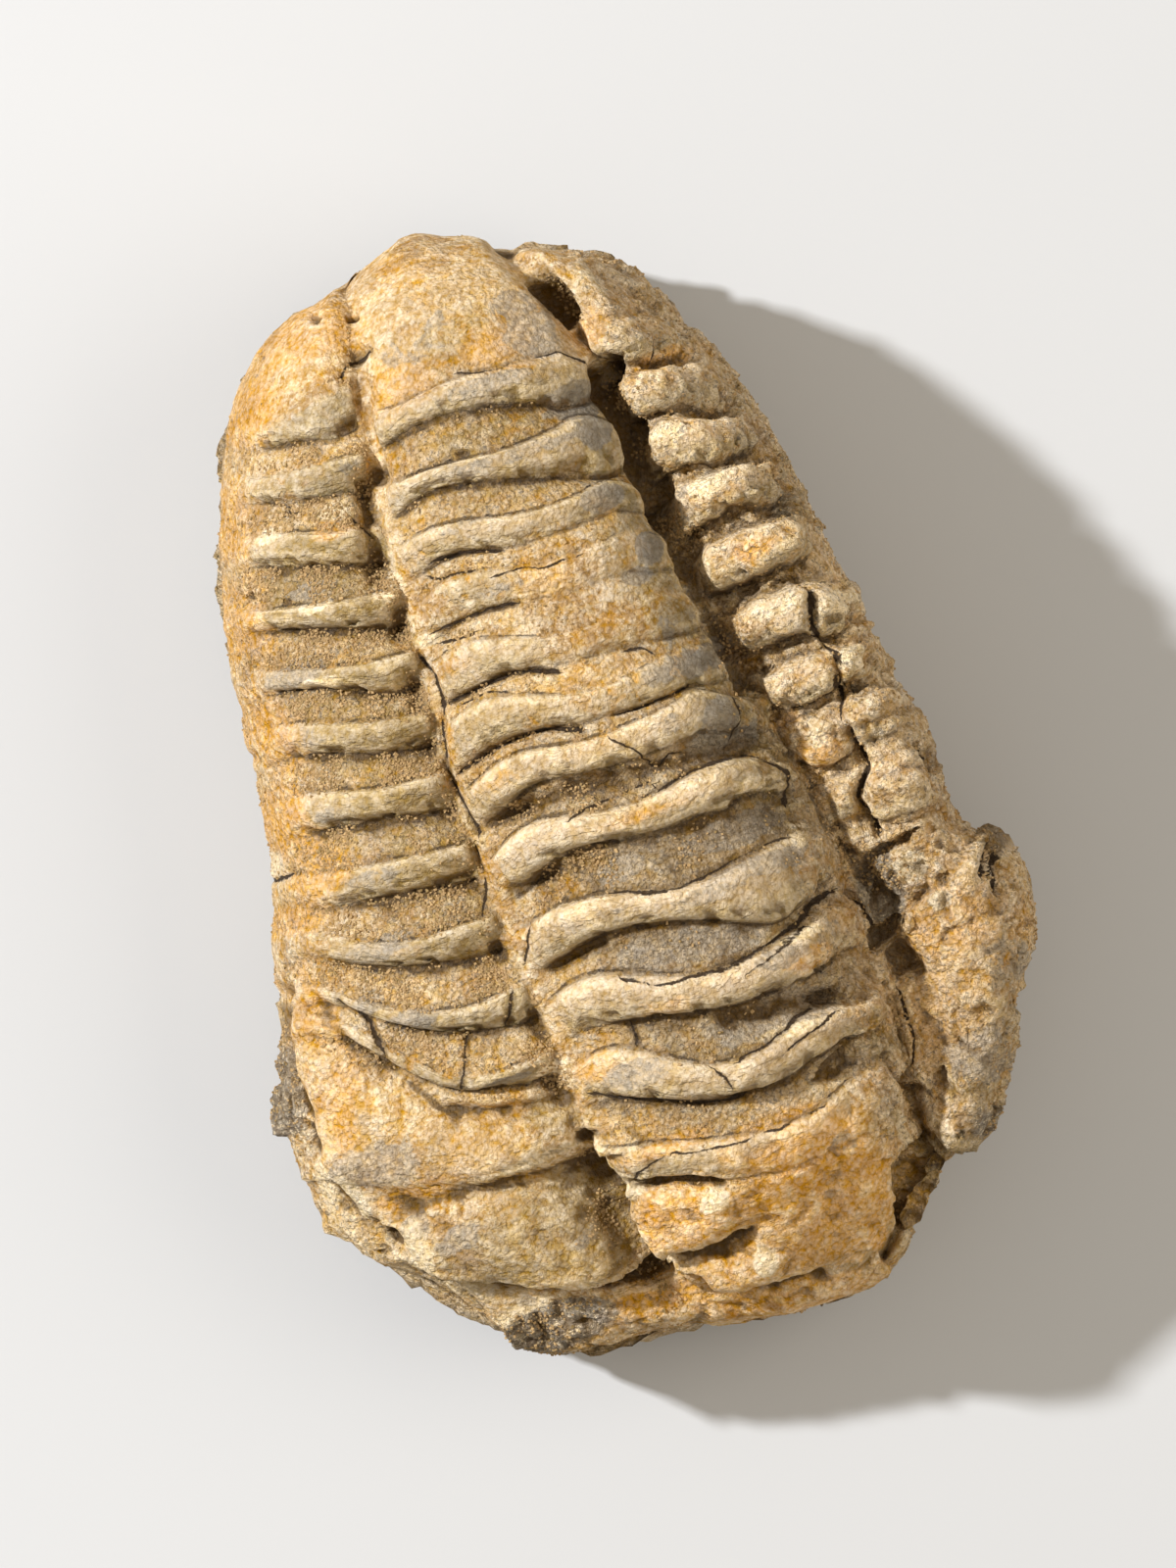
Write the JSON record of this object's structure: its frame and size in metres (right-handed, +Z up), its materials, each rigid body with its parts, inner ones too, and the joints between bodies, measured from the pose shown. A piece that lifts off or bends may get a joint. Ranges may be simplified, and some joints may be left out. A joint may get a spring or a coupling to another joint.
{
  "type": "fossil trilobite",
  "caption": "Fossil trilobite in one piece of brown stone: ringed middle lobe, ribbed side lobes, curled tail and broken head shield in relief on its back.",
  "frame": {"origin": "under the middle of the outline, on the plane that the stone lies on", "axes": "+Y along the animal from head to tail, +Z up out of its back, +X to the right seen from above with the tail away"},
  "size_m": [0.0513, 0.073, 0.0277],
  "materials": {
    "fossil_stone": "dry matt siltstone, tan brown with ochre iron stains on the edges, grey patches on the ridges and dark grit in the grooves"
  },
  "bodies": {
    "root": {"fossil_trilobite": "fossil_stone"}
  },
  "joints": []
}
